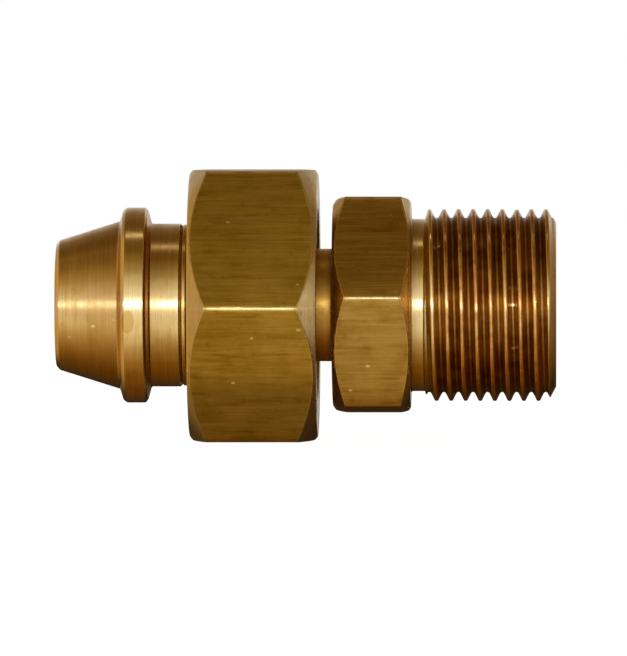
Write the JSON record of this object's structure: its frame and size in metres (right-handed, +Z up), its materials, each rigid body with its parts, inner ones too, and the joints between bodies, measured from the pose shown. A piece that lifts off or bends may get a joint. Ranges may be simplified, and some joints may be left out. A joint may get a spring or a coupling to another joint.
{
  "type": "flare fitting",
  "caption": "Brass union adaptor: cone nose drawn up by a loose hexagonal union nut, fixed spanner hexagon, and a male threaded end with a tube socket.",
  "frame": {"origin": "on the flow axis, at mid-length of the fitting", "axes": "+X along the flow axis towards the male threaded end, -X towards the cone nose, +Z up, square to the nut's top flat to within its small roll"},
  "size_m": [0.0516, 0.032, 0.0282],
  "materials": {
    "body_brass": "turned and drawn, tarnished",
    "nose_brass": "fine turned",
    "nut_brass": "drawn bar, dull patina",
    "ring_brass": "plain machined",
    "seal_ptfe": "matt"
  },
  "bodies": {
    "stem": {"body": "body_brass", "nose_piece": "nose_brass", "joint_seal": "seal_ptfe"},
    "ring": {"thrust_ring": "ring_brass"},
    "nut": {"union_nut": "nut_brass"}
  },
  "joints": [
    {"name": "nut_slide", "type": "slide", "parent": "stem", "child": "ring", "axis": [-1, 0, 0], "range_m": [-0.0015, 0.0134]},
    {"name": "nut_spin", "type": "hinge", "parent": "ring", "child": "nut", "pos_m": [-0.0054, 0, 0], "axis": [1, 0, 0], "continuous": true}
  ]
}
